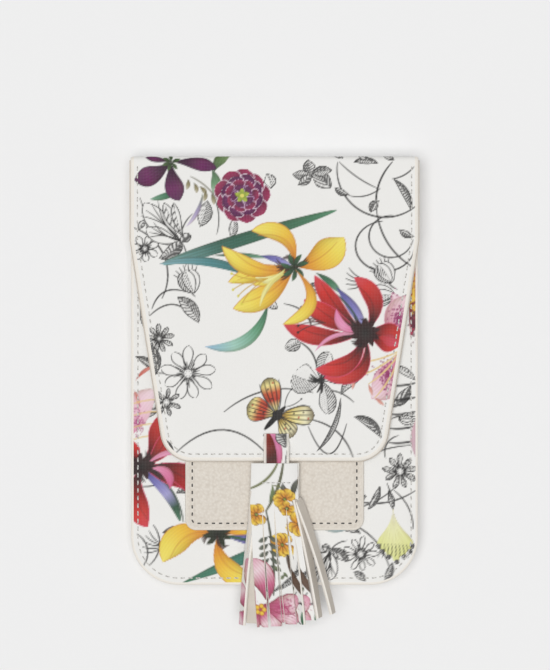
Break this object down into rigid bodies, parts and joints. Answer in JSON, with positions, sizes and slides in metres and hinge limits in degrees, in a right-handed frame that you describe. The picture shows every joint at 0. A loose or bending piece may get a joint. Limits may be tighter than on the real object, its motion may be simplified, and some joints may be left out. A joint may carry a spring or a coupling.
{
  "type": "phone case",
  "caption": "Flat flap-over phone pouch in printed coated cotton, with a patch pocket, a magnetic snap and a fringed tassel on a short strap.",
  "frame": {"origin": "centre of the back's resting face, with the pouch lying on its back", "axes": "+X across to the right as seen from the front, +Y towards the top fold, +Z out of the front"},
  "size_m": [0.12, 0.1955, 0.0226],
  "materials": {
    "printed_cotton": "printed coated cotton with a fine cross grain, satin",
    "plain_cotton": "plain greige coated cotton, matt",
    "pebbled_leather": "greige pebbled leather, satin",
    "lining": "woven lining cloth, matt",
    "board": "pressed fibre board, matt",
    "pale_thread": "twisted off-white thread",
    "dark_thread": "twisted charcoal thread",
    "snap_metal": "pale gold plate, polished",
    "magnet": "nickel-plated ring magnet"
  },
  "bodies": {
    "case": {"back_panel": "printed_cotton", "back_board": "board", "back_lining": "lining", "gusset": "plain_cotton", "front_panel": "printed_cotton", "front_board": "board", "front_lining": "lining", "patch_pocket": "pebbled_leather", "pocket_lining": "lining", "front_stitching": "pale_thread", "back_stitching": "pale_thread", "pocket_stitching": "dark_thread", "snap_socket": "snap_metal", "snap_magnet": "magnet", "socket_washer": "snap_metal"},
    "spine": {"spine_cover": "printed_cotton", "spine_board": "board", "spine_lining": "lining"},
    "flap": {"flap_outer": "printed_cotton", "flap_board": "board", "flap_lining": "lining", "flap_stitching": "pale_thread", "snap_stud": "snap_metal", "stud_washer": "snap_metal", "strap_tail": "printed_cotton"},
    "strap": {"tassel_strap": "printed_cotton"},
    "tassel": {"tassel_front": "printed_cotton", "tassel_middle": "plain_cotton", "tassel_back": "printed_cotton", "tassel_core": "board", "tassel_stitching": "pale_thread"}
  },
  "joints": [
    {"name": "spine_fold", "type": "hinge", "parent": "case", "child": "spine", "pos_m": [0, 0.0873, 0.0022], "axis": [-1, 0, 0], "range_deg": [0, 88]},
    {"name": "flap_fold", "type": "hinge", "parent": "spine", "child": "flap", "pos_m": [0, 0.0873, 0.0162], "axis": [-1, 0, 0], "range_deg": [0, 88]},
    {"name": "strap_lift", "type": "hinge", "parent": "flap", "child": "strap", "pos_m": [0.0008, -0.0266, 0.0191], "axis": [-1, 0, 0], "range_deg": [0, 150]},
    {"name": "tassel_swing", "type": "hinge", "parent": "strap", "child": "tassel", "pos_m": [0.0008, -0.0383, 0.0205], "axis": [0, 0, 1], "range_deg": [-20, 20]}
  ],
  "couplings": [
    {"joint": "flap_fold", "follows": "spine_fold", "ratio": 1}
  ]
}
